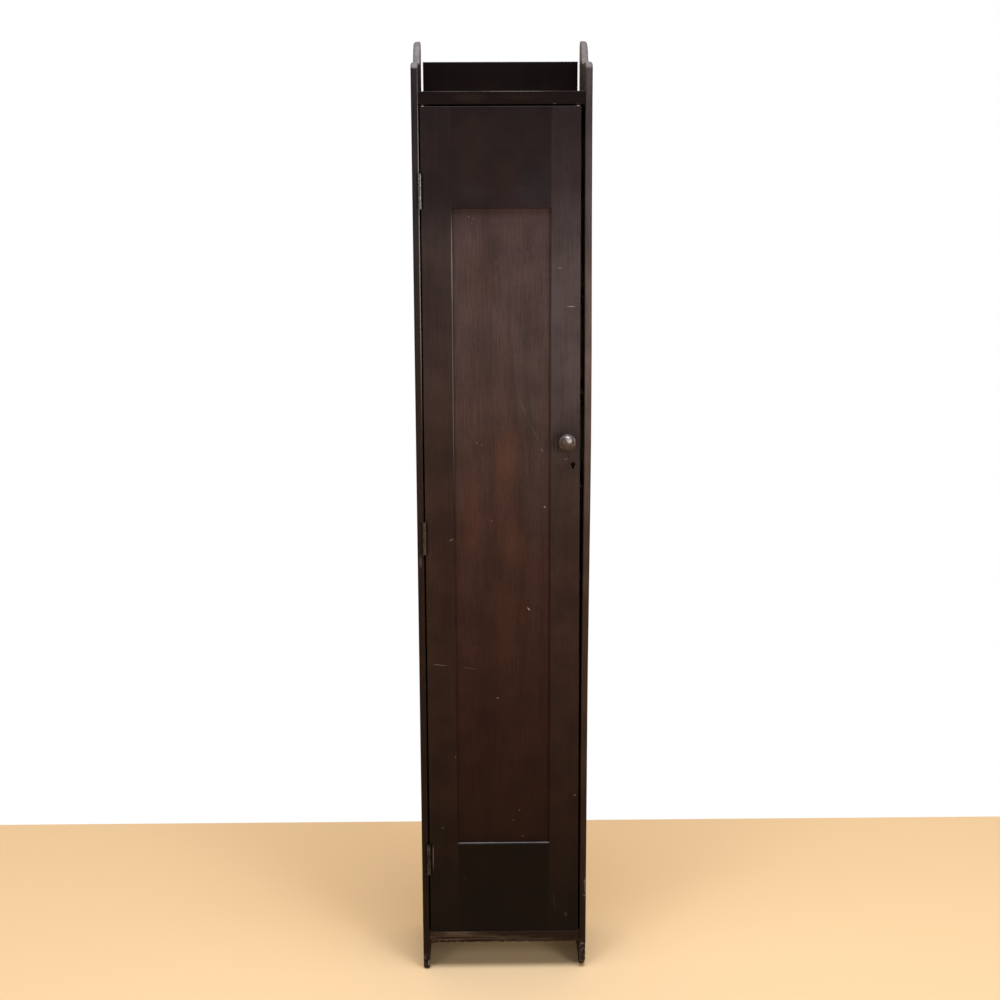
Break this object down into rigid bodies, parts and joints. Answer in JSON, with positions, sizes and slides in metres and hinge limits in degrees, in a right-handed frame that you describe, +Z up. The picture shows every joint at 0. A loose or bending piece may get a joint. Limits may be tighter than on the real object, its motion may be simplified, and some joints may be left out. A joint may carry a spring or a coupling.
{
  "type": "phonograph cylinder cabinet",
  "caption": "Tall narrow wooden cabinet with a framed door, butt hinges, knob and lock, shelves of short pegs for phonograph cylinders, and shaped side boards that rise above the top.",
  "frame": {"origin": "on the floor, under the middle of the whole object's box", "axes": "+X to the right as seen from in front, +Y to the back, +Z up; the door faces -Y"},
  "size_m": [0.2638, 0.187, 1.4535],
  "materials": {
    "stained_wood": "dark brown stain under old shellac, satin",
    "interior_wood": "thinly stained wood, dull",
    "hinge_iron": "dark oxidised iron",
    "aged_brass": "brass oxidised brown, rubbed bright in places",
    "fastener_steel": "dull steel"
  },
  "bodies": {
    "case": {"back_board": "stained_wood", "back_nails": "fastener_steel", "bottom_board": "stained_wood", "hinge_bottom_case_leaf": "hinge_iron", "hinge_bottom_case_screws": "fastener_steel", "hinge_bottom_pin": "hinge_iron", "hinge_middle_case_leaf": "hinge_iron", "hinge_middle_case_screws": "fastener_steel", "hinge_middle_pin": "hinge_iron", "hinge_top_case_leaf": "hinge_iron", "hinge_top_case_screws": "fastener_steel", "hinge_top_pin": "hinge_iron", "left_side": "stained_wood", "left_side_nails": "fastener_steel", "pegs_1": "interior_wood", "pegs_2": "interior_wood", "pegs_3": "interior_wood", "pegs_4": "interior_wood", "pegs_5": "interior_wood", "pegs_6": "interior_wood", "pegs_7": "interior_wood", "pegs_8": "interior_wood", "pegs_9": "interior_wood", "right_side": "stained_wood", "right_side_nails": "fastener_steel", "shelf_1": "interior_wood", "shelf_2": "interior_wood", "shelf_3": "interior_wood", "shelf_4": "interior_wood", "shelf_5": "interior_wood", "shelf_6": "interior_wood", "shelf_7": "interior_wood", "shelf_8": "interior_wood", "top_board": "stained_wood"},
    "door": {"door_bottom_rail": "stained_wood", "door_hinge_stile": "stained_wood", "door_lock_stile": "stained_wood", "door_panel": "stained_wood", "door_top_rail": "stained_wood", "hinge_bottom_door_leaf": "hinge_iron", "hinge_bottom_door_screws": "fastener_steel", "hinge_middle_door_leaf": "hinge_iron", "hinge_middle_door_screws": "fastener_steel", "hinge_top_door_leaf": "hinge_iron", "hinge_top_door_screws": "fastener_steel", "knob": "aged_brass", "knob_screw": "fastener_steel", "lock_plate": "aged_brass", "lock_case": "aged_brass", "lock_screws": "fastener_steel"},
    "bolt": {"lock_bolt": "aged_brass", "lock_bolt_spring": "aged_brass"}
  },
  "joints": [
    {"name": "door_hinge", "type": "hinge", "parent": "case", "child": "door", "pos_m": [-0.1205, -0.0685, 0.7175], "axis": [0, 0, -1], "range_deg": [0, 175]},
    {"name": "bolt_slide", "type": "slide", "parent": "door", "child": "bolt", "axis": [1, 0, 0], "range_m": [0, 0.011]}
  ]
}
